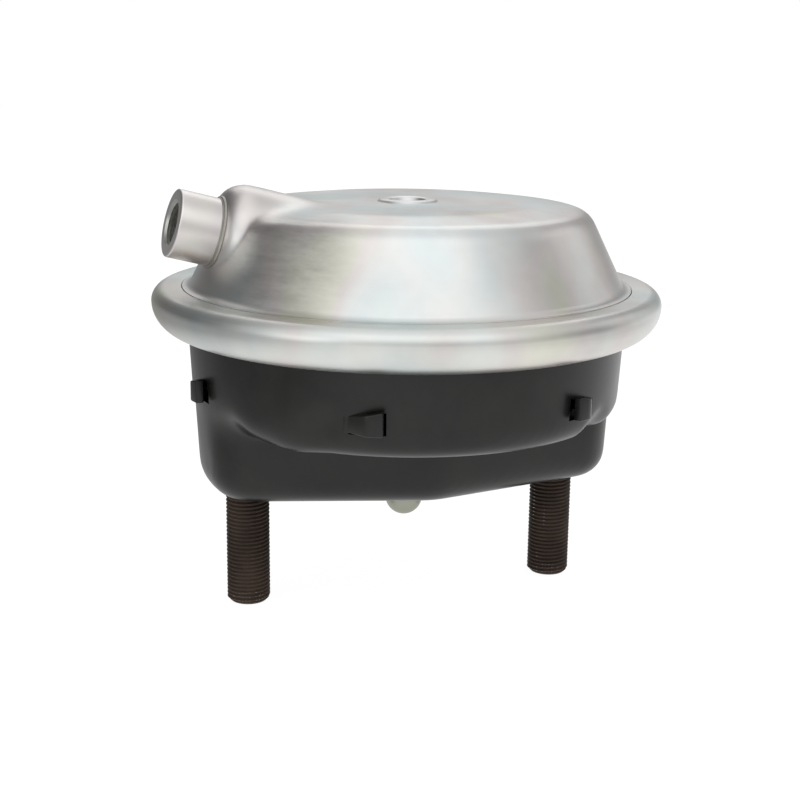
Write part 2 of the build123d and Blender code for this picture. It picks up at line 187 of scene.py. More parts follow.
def smooth(piece, degrees=35):
    """Smooth shading with creases kept where faces meet at more than an angle."""
    pick(piece)
    bpy.ops.object.shade_smooth_by_angle(angle=math.radians(degrees))
    return piece


# %% Sections and the lathe
MERGE_GAP = 0.002


def rounded(points, arc_steps=6):
    """Section points (radius, height, corner radius) with each corner turned into an arc."""
    out = []
    for i, (r, z, corner) in enumerate(points):
        if not corner:
            out.append((r, z))
            continue
        here = Vector((r, z))
        before = (Vector(points[i - 1][:2]) - here).normalized()
        after = (Vector(points[(i + 1) % len(points)][:2]) - here).normalized()
        half = before.angle(after) / 2
        centre = here + (before + after).normalized() * (corner / math.sin(half))
        start = here + before * (corner / math.tan(half)) - centre
        sweep = start.angle_signed(here + after * (corner / math.tan(half)) - centre)
        for k in range(arc_steps + 1):
            out.append(tuple(centre + Matrix.Rotation(-sweep * k / arc_steps, 2) @ start))
    return out


def draw_line(name, places):
    """New piece that is a line through places in metres, drawn by extruding one point. Stays in edit mode."""
    start_piece()
    bpy.ops.mesh.primitive_plane_add(size=MM, location=(0, 0, 0))
    piece = finish_primitive(name)
    bpy.ops.object.mode_set(mode="EDIT")
    bpy.ops.mesh.select_mode(type="VERT")
    bpy.ops.mesh.select_all(action="SELECT")
    bpy.ops.mesh.merge(type="CENTER")
    bpy.ops.transform.translate(value=places[0])
    for here, there in zip(places, places[1:]):
        bpy.ops.mesh.extrude_region_move(TRANSFORM_OT_translate={"value": there - here})
    return piece


def merge_points(gap=MERGE_GAP):
    """In edit mode, merges all points of a piece that lie closer together than a gap in mm."""
    bpy.ops.mesh.select_all(action="SELECT")
    bpy.ops.mesh.remove_doubles(threshold=gap * MM)


def draw_closed(name, places):
    """New piece that is one closed line through places in metres. Stays in edit mode."""
    piece = draw_line(name, places + places[:1])
    merge_points()
    return piece


def lathe(name, section, steps=144, arc_steps=6):
    """Closed section of (radius, height, corner radius) in mm, spun about Z."""
    piece = draw_closed(name, [Vector((r * MM, 0, z * MM)) for r, z in rounded(section, arc_steps)])
    bpy.ops.mesh.spin(steps=steps, angle=2 * math.pi, center=(0, 0, 0), axis=(0, 0, 1))
    merge_points()
    bpy.ops.mesh.normals_make_consistent(inside=False)
    bpy.ops.object.mode_set(mode="OBJECT")
    return piece


def select_where(piece, test, kind="VERT"):
    """In edit mode, selects the vertices or faces whose middle passes a test."""
    bpy.ops.mesh.select_mode(type=kind)
    bpy.ops.mesh.select_all(action="DESELECT")
    mesh = bmesh.from_edit_mesh(piece.data)
    for thing in {"VERT": mesh.verts, "FACE": mesh.faces}[kind]:
        place = thing.co if kind == "VERT" else sum((v.co for v in thing.verts), Vector()) / len(thing.verts)
        if test(place / MM):
            thing.select_set(True)
    mesh.select_flush(True)
    bmesh.update_edit_mesh(piece.data)


# %% [markdown]
# ## The pressed housing
# One sheet of steel is drawn into a round bowl, and its bottom is pushed further down into a longer,
# narrower foot that carries the studs. A press can't make a sharp corner, so bowl and foot flow into each
# other. To get that flow, both are built as blocks, united, remeshed into an even skin and smoothed. The skin
# is then given the thickness of the sheet, inwards.

# %% Bowl and foot as blocks
BOWL_EDGE_R = 8.0
FOOT_EDGE_R = 10.0
FOOT_EDGE_STEPS = 8
FOOT_WALL = 26
FOOT_HALF_WIDTH = 42.0
FOOT_BEND_R = 25.0
FOOT_CORNER = (72.89, 24.51, 17.0)
FOOT_END_ANGLES = (10, 5, 0, -5, -10)


def bowl_block():
    """Round bowl from its rounded floor edge up to the rim."""
    top = FLANGE_Z + 4
    floor_edge = (wall_radius(FOOT_DEPTH), FOOT_DEPTH, BOWL_EDGE_R)
    section = [(0, FOOT_DEPTH, 0), floor_edge, (wall_radius(top), top, 0), (0, top, 0)]
    return lathe("bowl_block", section, steps=180, arc_steps=8)


def foot_outline():
    """Points (x, y, corner radius) round the foot: two slightly bent long sides and two round ends."""
    corner_x, corner_y, corner_r = FOOT_CORNER
    angles = [math.radians(a) for a in FOOT_END_ANGLES]
    end = [(WALL_R * math.cos(a), WALL_R * math.sin(a), 0) for a in angles]
    right = [FOOT_CORNER] + end + [(corner_x, -corner_y, corner_r)]
    left = [(-x, -y, corner) for x, y, corner in right]
    return [(0, FOOT_HALF_WIDTH, FOOT_BEND_R)] + right + [(0, -FOOT_HALF_WIDTH, FOOT_BEND_R)] + left


def foot_block():
    """Foot block: its bottom edge is rounded by insets that follow a quarter circle, its walls lean out."""
    outline = rounded(foot_outline(), 10)
    block = draw_closed("foot_block", [Vector((x, y, FOOT_EDGE_R)) * MM for x, y in outline])
    bpy.ops.mesh.edge_face_add()
    bpy.ops.mesh.extrude_region_move(TRANSFORM_OT_translate={"value": (0, 0, FOOT_WALL * MM)})
    lean = 1 + FOOT_WALL * WALL_DRAFT / WALL_R
    bpy.ops.transform.resize(value=(lean, lean, 1), center_override=(0, 0, 0))
    select_where(block, lambda p: p.z < FOOT_EDGE_R + 0.1, "FACE")
    for k in range(FOOT_EDGE_STEPS):
        a, b = (math.pi / 2 * j / FOOT_EDGE_STEPS for j in (k, k + 1))
        inwards = FOOT_EDGE_R * (math.cos(a) - math.cos(b))
        down = FOOT_EDGE_R * (math.sin(b) - math.sin(a))
        bpy.ops.mesh.inset(thickness=inwards * MM, depth=0)
        bpy.ops.transform.translate(value=(0, 0, -down * MM))
    bpy.ops.mesh.select_all(action="SELECT")
    bpy.ops.mesh.normals_make_consistent(inside=False)
    bpy.ops.object.mode_set(mode="OBJECT")
    return block


foot = foot_block()
bowl = bowl_block()
print("foot block:", len(foot.data.vertices), "points; bowl block:", len(bowl.data.vertices), "points")

# %% [markdown]
# The two blocks become one, and a voxel remesh lays an even grid of small faces over them. Smoothing then
# relaxes the sharp valley between bowl and foot into the hollow curve that drawn steel has.

# %% One smooth skin
HOUSING_VOXEL = 1.3
HOUSING_PASSES = 8


def soft_skin(piece, voxel, passes, cut_z, lost_side):
    """Even, softened skin of a block, cut off at a height on its lost side: 1 above it, -1 below it."""
    apply_modifier(piece, "REMESH", mode="VOXEL", voxel_size=voxel * MM, use_smooth_shade=True)
    apply_modifier(piece, "SMOOTH", factor=0.5, iterations=passes)
    pick(piece)
    bpy.ops.object.mode_set(mode="EDIT")
    bpy.ops.mesh.select_all(action="SELECT")
    bpy.ops.mesh.bisect(plane_co=(0, 0, cut_z * MM), plane_no=(0, 0, lost_side), clear_outer=True)
    bpy.ops.object.mode_set(mode="OBJECT")
    return piece


housing = combine(bowl, foot, "UNION")
housing.name = "housing_shell"
housing = soft_skin(housing, HOUSING_VOXEL, HOUSING_PASSES, RIM_Z + 1.5, 1)
print("housing skin:", len(housing.data.polygons), "faces")

# %% [markdown]
# Where the bowl's edge runs into the foot's round end, the press leaves soft dents: the step between bowl
# and foot fades out, and a shallow pocket lies beside it. They are pushed in one by one with proportional
# editing, which moves one point and lets its neighbours follow less and less. The chamber is pressed alike on
# both sides, so each dent is made again half a turn round. Where the step ends, the skin is smoothed further.

# %% Soft dents of the press
def push(piece, place, move, reach):
    """Moves the skin near a place, with a soft fall-off over a reach in mm."""
    target = Vector(place)
    nearest = min(piece.data.vertices, key=lambda v: (v.co / MM - target).length_squared).co / MM
    pick(piece)
    bpy.ops.object.mode_set(mode="EDIT")
    select_where(piece, lambda p: (p - nearest).length < 0.01)
    bpy.ops.transform.translate(
        value=Vector(move) * MM,
        use_proportional_edit=True,
        proportional_edit_falloff="SMOOTH",
        proportional_size=reach * MM,
    )
    bpy.ops.object.mode_set(mode="OBJECT")


def on_wall(azimuth, z):
    """Place on the bowl's wall at an azimuth in degrees."""
    a = math.radians(azimuth)
    r = wall_radius(z)
    return (r * math.cos(a), r * math.sin(a), z)


def along(azimuth, out, up):
    """Move outwards and upwards on the wall at an azimuth in degrees."""
    a = math.radians(azimuth)
    return (out * math.cos(a), out * math.sin(a), up)


def fade(value, full, none):
    """Weight that falls from 1 at a full value to 0 at the value where nothing is left."""
    return min(max((none - value) / (none - full), 0), 1)


def relax(piece, weight, passes):
    """Smooths a skin as much as a weight from 0 to 1 says at each point."""
    group = piece.vertex_groups.new(name="relax")
    for v in piece.data.vertices:
        share = weight(v.co / MM)
        if share > 0:
            group.add([v.index], share, "REPLACE")
    apply_modifier(piece, "SMOOTH", factor=0.5, iterations=passes, vertex_group="relax")
    piece.vertex_groups.clear()


RUN_OUT_AZIMUTHS = (-165, 15)
RUN_OUT_Z = 32


def near_end(p):
    """Weight round the places where the step between bowl and foot runs out."""
    azimuth = math.degrees(math.atan2(p.y, p.x))
    beside = max(fade(abs(azimuth - end), 8, 26) for end in RUN_OUT_AZIMUTHS)
    return beside * fade(abs(p.z - RUN_OUT_Z), 7, 15)


# Each dent: azimuth and height of its point, its move outwards and upwards, and its reach.
DENTS = (
    (-157, 31, 0.0, 3.0, 12),
    (-137, 29, 0.6, -1.2, 16),
    (-136, 42, 1.0, 0.0, 15),
    (-126, 38, -0.8, 0.0, 10),
    (-47, 29, 0.0, 4.0, 13),
)
for azimuth, z, out, up, reach in DENTS:
    for turn in (0, 180):
        push(housing, on_wall(azimuth + turn, z), along(azimuth + turn, out, up), reach)
relax(housing, near_end, 60)
print("dents pressed:", 2 * len(DENTS))

# %% [markdown]
# The skin gets the sheet's thickness inwards, so that the outside keeps its size. Then the rod hole and the
# stud holes are cut.

# %% Sheet thickness and holes
ROD_HOLE_R = 26.0


def cutter(name, radius, place, depth):
    """Round cutter standing on its place along Z."""
    start_piece()
    middle = Vector(place) * MM
    bpy.ops.mesh.primitive_cylinder_add(vertices=64, radius=radius * MM, depth=depth * MM, location=middle)
    return finish_primitive(name)


apply_modifier(housing, "SOLIDIFY", thickness=SHEET * MM, offset=-1.0, use_even_offset=True)
for x, radius in ((0, ROD_HOLE_R), (-STUD_X, STUD_NECK_R + 0.1), (STUD_X, STUD_NECK_R + 0.1)):
    combine(housing, cutter("hole", radius, (x, 0, 0), 30), "DIFFERENCE")
print("housing with its holes:", len(housing.data.polygons), "faces")

# %% [markdown]
# Six vents let the air behind the diaphragm in and out. Each is a tab of the wall, sheared on three sides and
# pushed out, so that rain can't run straight in. The opening is cut first, a little lower than the tab. Then
# the tab is drawn as a strip that rises from its hinge and runs level with the wall.

# %% Vents
# Each vent: its azimuth, and 1 where its free end points to growing azimuths or -1 where it points back.
VENTS = ((-172, 1), (-116, 1), (-58, -1), (8, 1), (64, 1), (122, -1))
VENT_Z = 41.0
VENT_HALF = 6.25
VENT_HEIGHT = 9.0
VENT_DROP = 2.5
VENT_LIFT = 4.5
VENT_RAMP = 6.5


def to_wall(azimuth, side):
    """Matrix from the tab's own frame, X along the wall and Z outwards, to its place on the wall."""
    a = math.radians(azimuth)
    out = Vector((math.cos(a), math.sin(a), 0))
    sideways = Vector((-math.sin(a), math.cos(a), 0)) * side
    up = out.cross(sideways)
    turn = Matrix((sideways, up, out)).transposed().to_4x4()
    return Matrix.Translation((out * wall_radius(VENT_Z) + Vector((0, 0, VENT_Z))) * MM) @ turn


def vent_shape(name, line, side, low_gap, high_gap):
    """Strip or block over a side view line (x, z), with the vent's outline: one edge drops to the hinge."""
    low = (low_gap - VENT_HEIGHT / 2) * side
    high = (VENT_HEIGHT / 2 - high_gap) * side
    piece = draw_closed(name, [Vector((x, low, z)) * MM for x, z in line])
    bpy.ops.mesh.edge_face_add()
    bpy.ops.mesh.extrude_region_move(TRANSFORM_OT_translate={"value": (0, (high - low) * MM, 0)})
    mesh = bmesh.from_edit_mesh(piece.data)
    for v in mesh.verts:
        if (v.co.y / MM - high) * side > -0.1:
            near_hinge = fade(v.co.x / MM, -VENT_HALF, VENT_HALF)
            v.co.y -= VENT_DROP * near_hinge * side * MM
    bmesh.update_edit_mesh(piece.data)
    bpy.ops.mesh.select_all(action="SELECT")
    bpy.ops.mesh.normals_make_consistent(inside=False)
    bpy.ops.object.mode_set(mode="OBJECT")
    return piece


def place_mesh(piece, matrix):
    """Moves a piece's mesh to its place."""
    pick(piece)
    piece.matrix_world = matrix
    bpy.ops.object.transform_apply(location=True, rotation=True, scale=True)
    return piece


def vent_tab(azimuth, side):
    """Tab with its joggle, softly bent and with worn edges."""
    inner = -SHEET * 0.95
    root = -VENT_HALF - 1.6
    free = VENT_HALF - 0.5
    crest = -VENT_HALF + VENT_RAMP
    end_lift = VENT_LIFT - 0.7
    top = [(root, -0.2, 0), (-VENT_HALF, -0.2, 2.5), (crest, VENT_LIFT, 4.5)]
    end = [(free, end_lift, 0), (free, end_lift + inner, 0)]
    under = [(crest + 1.0, VENT_LIFT + inner, 2.0), (-VENT_HALF + 1.3, inner + 0.2, 3.0)]
    line = rounded(top + end + under + [(root, inner + 0.2, 0)], 4)
    tab = vent_shape("vent_tab", line, side, 0.5, 0.2)
    wear_edges(tab, 0.45, 50)
    return place_mesh(tab, to_wall(azimuth, side))


def vent_opening(azimuth, side):
    """Block that cuts the opening under a tab."""
    block = [(-VENT_HALF, -6), (VENT_HALF, -6), (VENT_HALF, 8), (-VENT_HALF, 8)]
    return place_mesh(vent_shape("vent_opening", block, side, 0.0, 1.2), to_wall(azimuth, side))


for azimuth, side in VENTS:
    combine(housing, vent_opening(azimuth, side), "DIFFERENCE")
tabs = [vent_tab(azimuth, side) for azimuth, side in VENTS]
print("vents:", len(tabs))

# %% [markdown]
# The flange that the rim grips is a turned ring. It is joined to the skin together with the six tabs, so that
# the housing is one piece.

# %% Flange and the whole housing
FLANGE_R = 89.4
wall_top = wall_radius(RIM_Z)
flange_section = [
    (wall_top - SHEET + 0.1, RIM_Z - 1, 0),
    (wall_top - 0.1, RIM_Z - 1, 0),
    (wall_top - 0.1, FLANGE_Z, 1.5),
    (FLANGE_R, FLANGE_Z, 0),
    (FLANGE_R, FLANGE_Z + SHEET, 0),
    (wall_top - SHEET + 0.1, FLANGE_Z + SHEET, 4.4),
]
join_pieces(housing, tabs + [lathe("housing_flange", flange_section)])
housing.name = "housing_shell"
smooth(housing, 40)
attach(housing, "chamber")
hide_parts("housing")
print("housing:", len(housing.data.polygons), "faces")

# %% [markdown]
# ## The pressure cover
# The cover is drawn from zinc plated sheet: a cone with a domed crown, and a bump on one side that gives the
# air port a flat seat square to its axis. The bump runs back over the crown and fades into it. Again two
# blocks are united, remeshed and softened, because the press leaves a smooth valley where they meet.

# %% Port axis
PORT_MOUTH_R = 87.0
PORT_MOUTH_Z = CROWN_Z - 5.2


def port_matrix():
    """Frame at the port's mouth, with Z pointing out of it along its axis."""
    flat = Vector((math.cos(PORT_AZIMUTH), math.sin(PORT_AZIMUTH), 0))
    axis = flat * math.cos(PORT_TILT) + Vector((0, 0, math.sin(PORT_TILT)))
    side = Vector((-math.sin(PORT_AZIMUTH), math.cos(PORT_AZIMUTH), 0))
    turn = Matrix((side, axis.cross(side), axis)).transposed().to_4x4()
    return Matrix.Translation((flat * PORT_MOUTH_R + Vector((0, 0, PORT_MOUTH_Z))) * MM) @ turn


print("port's mouth:", PORT_MOUTH_R, "mm from the axis,", PORT_MOUTH_Z, "mm up")

# %% Dome and bump as blocks
DOME_BASE_Z = 48
DOME_BASE_R = 92.4
SHOULDER = (65.85, 101.74, 8.8)
CROWN_FLAT_R = 47.0
BUMP_BACK = -58.0


def dome_block():
    """Solid dome: cone, rounded shoulder, gently sloping crown."""
    cone = [(0, DOME_BASE_Z, 0), (DOME_BASE_R, DOME_BASE_Z, 0), SHOULDER]
    section = cone + [(CROWN_FLAT_R, CROWN_Z, 30.0), (0, CROWN_Z, 0)]
    return lathe("pressure_cover_dressed", section, steps=200, arc_steps=10)


def bump_block():
    """Solid bump: a short cylinder about the port's axis with a rounded front edge."""
    section = [(0, -PORT_LENGTH, 0), (BUMP_R, -PORT_LENGTH, 9.0), (BUMP_R, BUMP_BACK, 0), (0, BUMP_BACK, 0)]
    return place_mesh(lathe("bump_block", section, steps=96, arc_steps=10), port_matrix())


dome = dome_block()
lump = bump_block()
print("dome block:", len(dome.data.vertices), "points; bump block:", len(lump.data.vertices), "points")

# %% [markdown]
# The bump's tail needs a softer end than the rest of the cover, so the skin is smoothed more often there. The
# sheet's thickness comes next, and then the pilot hole in the crown and the air passage behind the port.

# %% Skin of the cover
COVER_VOXEL = 1.15
COVER_PASSES = 4
COVER_SHEET = 2.8
TAIL_FROM_AXIS = 42
PILOT_R = 7.0
PASSAGE_R = 4.5


def near_tail(p):
    """Weight on the crown where the end of the bump runs out."""
    towards_port = p.x * math.cos(PORT_AZIMUTH) + p.y * math.sin(PORT_AZIMUTH)
    across = -p.x * math.sin(PORT_AZIMUTH) + p.y * math.cos(PORT_AZIMUTH)
    on_crown = fade(-p.z, -101, -98)
    return on_crown * fade(abs(TAIL_FROM_AXIS - towards_port), 14, 26) * fade(abs(across), 18, 30)


cover = soft_skin(combine(dome, lump, "UNION"), COVER_VOXEL, COVER_PASSES, COVER_FLANGE_Z + 1.2, -1)
relax(cover, near_tail, 110)
apply_modifier(cover, "SOLIDIFY", thickness=COVER_SHEET * MM, offset=-1.0, use_even_offset=True)
combine(cover, cutter("pilot_hole", PILOT_R, (0, 0, CROWN_Z), 20), "DIFFERENCE")
passage = lathe("passage", [(0, -26, 0), (PASSAGE_R, -26, 0), (PASSAGE_R, -5, 0), (0, -5, 0)], steps=48)
combine(cover, place_mesh(passage, port_matrix()), "DIFFERENCE")
print("cover skin:", len(cover.data.polygons), "faces")

# %% [markdown]
# The cover's flange is gripped by the rim, so only its inner edge shows. Just above it the cone turns
# outwards in a small hollow flare. Both are turned rings that are joined to the skin.

# %% Flange and flare of the cover
COVER_FLANGE_R = 87.7
cover_flange = [
    (79.2, COVER_FLANGE_Z, 0),
    (COVER_FLANGE_R, COVER_FLANGE_Z, 0),
    (COVER_FLANGE_R, COVER_FLANGE_TOP, 0),
    (81.0, COVER_FLANGE_TOP, 0.8),
    (80.3, 72.6, 0),
    (78.6, 72.6, 0),
]
cover_flare = [
    (75.5, 80.0, 0),
    (76.5, 80.0, 0),
    (79.55, 74.05, 3.5),
    (81.9, 74.05, 0),
    (81.9, 72.8, 0),
    (75.5, 72.8, 0),
]
flare = lathe("cover_flare", cover_flare, steps=200)
join_pieces(cover, [lathe("cover_flange", cover_flange, steps=200), flare])
cover.name = "pressure_cover_dressed"
smooth(cover, 40)
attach(cover, "chamber")
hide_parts("pressure_cover")
print("cover:", len(cover.data.polygons), "faces")

# %% [markdown]
# ## The rolled rim
# The clamp ring starts as a flat band and is rolled round the two flanges, so its section is a C with a small
# flat on top and a wide round underneath. It is a turned shape, so the lathe makes it in one go.

# %% Clamp ring
RING_R = 93.0
RING_SHEET = 2.5
RING_LIP_R = 82.1
RING_HEM_R = 81.3
ring_inner = RING_R - RING_SHEET
ring_section = [
    (RING_LIP_R, RING_TOP, 0.4),
    (RING_R, RING_TOP, 5.0),
    (RING_R, RIM_Z, 10.9),
    (RING_HEM_R, RIM_Z, 0.6),
    (RING_HEM_R, RIM_Z + RING_SHEET, 0.6),
    (ring_inner, RIM_Z + RING_SHEET, 8.4),
    (ring_inner, COVER_FLANGE_TOP, 2.5),
    (83.8, COVER_FLANGE_TOP, 0.5),
    (RING_LIP_R, COVER_FLANGE_TOP + 1.4, 0.3),
]
rim = smooth(lathe("clamp_ring_dressed", ring_section, steps=240, arc_steps=12), 30)
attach(rim, "chamber")
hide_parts("clamp_ring")
print("clamp ring:", len(rim.data.polygons), "faces")

# %% [markdown]
# ## The plug in the crown
# The press holds the sheet by a pilot hole in the middle of the crown. A small dished plug closes it, with a
# rolled edge, a ring-shaped crest and a sunk middle. It is turned on the lathe like the rim.

# %% Cover plug
plug_section = [
    (0, CROWN_Z - COVER_SHEET, 0),
    (6.9, CROWN_Z - COVER_SHEET, 0.5),
    (6.9, CROWN_Z + 0.02, 0),
    (11.0, CROWN_Z + 0.02, 0),
    (10.2, CROWN_Z + 0.75, 0.5),
    (8.2, CROWN_Z + 1.0, 0.6),
    (6.6, CROWN_Z + 0.7, 0.6),
    (5.6, CROWN_Z - 0.75, 0.5),
    (0, CROWN_Z - 0.85, 0),
]
plug = smooth(lathe("cover_plug_dressed", plug_section, steps=96, arc_steps=5), 40)
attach(plug, "chamber")
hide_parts("cover_plug")
print("cover plug:", len(plug.data.polygons), "faces")

# %% [markdown]
# ## Screw threads
# The studs carry an M16 x 1.5 thread, and the port has the same thread inside. One turn of the thread's
# section is drawn and the Screw modifier winds it up as many times as needed. The result is longer than
# wanted, and a turned blank with the right ends is intersected with it, just as a bar is turned to size
# before it is threaded.

# %% Threaded bar
PITCH = 1.5
THREAD_DEPTH = 0.61 * PITCH
TURN_RUN = 1.42


def threaded_bar(name, crest_r, low_z, turns, steps=40):
    """Solid bar with a screw thread, from low_z upwards, with rough ends that are cut off later."""
    root_r = crest_r - THREAD_DEPTH
    turn = [(root_r, 0), (root_r, 0.14), (crest_r, 0.62), (crest_r, 0.80), (root_r, 1.28), (root_r, TURN_RUN)]
    bar = draw_line(name, [Vector((r * MM, 0, (low_z + z * PITCH / TURN_RUN) * MM)) for r, z in turn])
    bpy.ops.object.mode_set(mode="OBJECT")
    winding = {"angle": 2 * math.pi, "screw_offset": PITCH * MM, "iterations": turns, "steps": steps}
    apply_modifier(bar, "SCREW", render_steps=steps, use_merge_vertices=True, merge_threshold=1e-6, **winding)
    pick(bar)
    bpy.ops.object.mode_set(mode="EDIT")
    merge_points(0.003)
    bpy.ops.mesh.select_mode(type="EDGE")
    bpy.ops.mesh.select_all(action="DESELECT")
    bpy.ops.mesh.select_non_manifold(extend=False)
    bpy.ops.mesh.fill_holes(sides=0)
    bpy.ops.mesh.select_all(action="SELECT")
    bpy.ops.mesh.quads_convert_to_tris()
    bpy.ops.mesh.normals_make_consistent(inside=False)
    bpy.ops.object.mode_set(mode="OBJECT")
    return bar


print("thread depth:", round(THREAD_DEPTH, 3), "mm")

# %% [markdown]
# ## The studs
# Each stud is pressed through the foot from inside. Its head has six flats and rests on the stiffening plate,
# a plain neck sits tight in the hole, and the thread runs from the mounting face to a chamfered end.

# %% Studs
STUD_CHAMFER = 1.4
STUD_TURNS = 33
NECK_TOP = 7.4
HEAD_FLATS = 24.0
HEAD_HEIGHT = 8
HEAD_MIDDLE_Z = 11.0


def stud_piece(name, x):
    """Stud with its thread, neck and hexagon head, at its place on the X axis."""
    blank = [
        (0, STUD_END_Z, 0),
        (STUD_R - STUD_CHAMFER, STUD_END_Z, 0),
        (STUD_R, STUD_END_Z + STUD_CHAMFER, 0),
        (STUD_R, -0.4, 0),
        (STUD_R, 0.5, 0),
        (0, 0.5, 0),
    ]
    bar = threaded_bar(name, STUD_R, STUD_END_Z - 3, STUD_TURNS)
    combine(bar, lathe("blank", blank, steps=64), "INTERSECT")
    neck_section = [(0, 0.3, 0), (STUD_NECK_R, 0.3, 0.3), (STUD_NECK_R, NECK_TOP, 0), (0, NECK_TOP, 0)]
    neck = lathe("neck", neck_section, steps=64)
    start_piece()
    corner_r = HEAD_FLATS / 2 / math.cos(math.pi / 6) * MM
    middle = Vector((0, 0, HEAD_MIDDLE_Z)) * MM
    bpy.ops.mesh.primitive_cylinder_add(vertices=6, radius=corner_r, depth=HEAD_HEIGHT * MM, location=middle)
    head = finish_primitive("head")
    wear_edges(head, 0.8, 40)
    join_pieces(bar, [neck, head])
    bar.name = name
    return smooth(place_mesh(bar, Matrix.Translation((x * MM, 0, 0))), 30)


for side, x in (("left", -STUD_X), ("right", STUD_X)):
    stud = stud_piece("stud_" + side + "_threaded", x)
    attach(stud, "chamber")
    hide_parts("stud_" + side)
    print(stud.name, len(stud.data.polygons), "faces")

# %% [markdown]
# ## The air port
# A turned boss is welded on the bump. Its bore is tapped right through, with a lead-in at the mouth, so the
# thread is cut from the boss with a threaded bar. The bore has a material slot of its own, for a darker zinc
# that paints the shade inside the bore.

# %% Port boss
PORT_R = 12
BORE_R = 7.19
TAP_R = 8.05
TAP_TURNS = 18


def boss_piece():
    """Turned boss with its real internal thread, in the port's place."""
    blank = [(0, -PORT_LENGTH, 0), (PORT_R, -PORT_LENGTH, 0), (PORT_R, 0, 0.7), (0, 0, 0)]
    boss = lathe("port_boss_threaded", blank, 96)
    deep = -PORT_LENGTH - 1.5
    bore = [(0, deep, 0), (BORE_R, deep, 0), (BORE_R, -0.99, 0), (8.49, 0.31, 0), (8.49, 1, 0), (0, 1, 0)]
    combine(boss, lathe("bore", bore, steps=64), "DIFFERENCE")
    combine(boss, threaded_bar("tap", TAP_R, deep - 4, TAP_TURNS), "DIFFERENCE")
    for name in ("boss_outside", "boss_thread"):
        boss.data.materials.append(bpy.data.materials.new(name))
    pick(boss)
    bpy.ops.object.mode_set(mode="EDIT")
    select_where(boss, lambda p: math.hypot(p.x, p.y) < 8.3 and p.z < -0.1, "FACE")
    boss.active_material_index = 1
    bpy.ops.object.material_slot_assign()
    bpy.ops.object.mode_set(mode="OBJECT")
    return smooth(place_mesh(boss, port_matrix()), 30)


boss = boss_piece()
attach(boss, "chamber")
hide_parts("port_boss")
print("boss:", len(boss.data.polygons), "faces")

# %% [markdown]
# The weld is a thin bead in the corner between the boss and the bump, with a fine groove in it. It is turned
# about the port's axis.

# %% Weld of the port
seat = -PORT_LENGTH
bead = [
    (11.6, seat - 0.4, 0),
    (13.0, seat - 0.4, 0),
    (12.8, seat + 0.35, 0.3),
    (12.2, seat + 0.45, 0.1),
    (12.35, seat + 0.8, 0.15),
    (11.9, seat + 0.95, 0),
    (11.6, seat + 0.95, 0),
]
weld = smooth(place_mesh(lathe("port_weld_bead", bead, steps=96, arc_steps=3), port_matrix()), 50)
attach(weld, "chamber")
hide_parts("port_weld")
print("weld:", len(weld.data.polygons), "faces")

# %% [markdown]
# ## Soft parts inside
# The diaphragm is clamped at its bead and rides on the push plate in the middle, so it turns inside out as
# the rod moves. The boot and the spring fold up between the foot and the rod. They can't be seen from
# outside. Their shapes in the solid model are right, so each is a copy of its node with its points merged.

# %% Diaphragm, boot and spring
def soften_node(node, name):
    """Copy of a node's mesh with its points merged, so that it can be shaped and shaded smoothly."""
    source = frame["nodes"][node]
    copy = bpy.data.objects.new(name, source.data.copy())
    bpy.context.scene.collection.objects.link(copy)
    copy.data.transform(source.matrix_world)
    pick(copy)
    bpy.ops.object.mode_set(mode="EDIT")
    merge_points(0.005)
    bpy.ops.mesh.normals_make_consistent(inside=False)
    bpy.ops.object.mode_set(mode="OBJECT")
    return smooth(copy, 35)


diaphragm = soften_node("diaphragm", "diaphragm_moulded")
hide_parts("diaphragm")
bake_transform(diaphragm)
boot = soften_node("boot", "boot_moulded")
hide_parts("boot")
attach(boot, "chamber")
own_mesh(boot)
spring = soften_node("return_spring", "return_spring_wound")
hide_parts("return_spring")
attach(spring, "chamber")
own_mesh(spring)

# %% [markdown]
# ## Finishes
# A finish is built from a few shader nodes that all read Object coordinates, so the pattern stays on the
# piece. Small helpers make the nodes, so that each finish reads as a short recipe.

# %% Node helpers
def add_node(tree, kind, links=(), **values):
    """Adds a shader node, sets its properties and input values, and links sockets to its inputs."""
    made = tree.nodes.new("ShaderNode" + kind)
    for key, value in values.items():
        if hasattr(made, key):
            setattr(made, key, value)
        else:
            made.inputs[key.replace("_", " ")].default_value = value
    for socket, source in dict(links).items():
        tree.links.new(source, made.inputs[socket])
    return made


def start_finish(name, **values):
    """New material, with its node tree, its Principled shader and its Object coordinates."""
    material = bpy.data.materials.new(name)
    material.use_nodes = True
    tree = material.node_tree
    shader = tree.nodes["Principled BSDF"]
    for key, value in values.items():
        shader.inputs[key.replace("_", " ")].default_value = value
    place = add_node(tree, "TexCoord").outputs["Object"]
    return material, tree, shader, place


def noise(tree, place, scale, detail=3.0, roughness=0.5):
    """Noise value at a place."""
    node = add_node(tree, "TexNoise", {"Vector": place}, Scale=scale, Detail=detail, Roughness=roughness)
    return node.outputs["Fac"]


def ramp(tree, value, stops):
    """Colour ramp over a value, with stops of (position, colour)."""
    node = add_node(tree, "ValToRGB", {"Fac": value})
    elements = node.color_ramp.elements
    while len(elements) < len(stops):
        elements.new(0.5)
    for element, (position, colour) in zip(elements, stops):
        element.position = position
        element.color = (*colour, 1.0)
    return node.outputs["Color"]


def remap(tree, value, low, high):
    """Turns a value from 0 to 1 into one from low to high."""
    return add_node(tree, "MapRange", {"Value": value}, To_Min=low, To_Max=high).outputs["Result"]


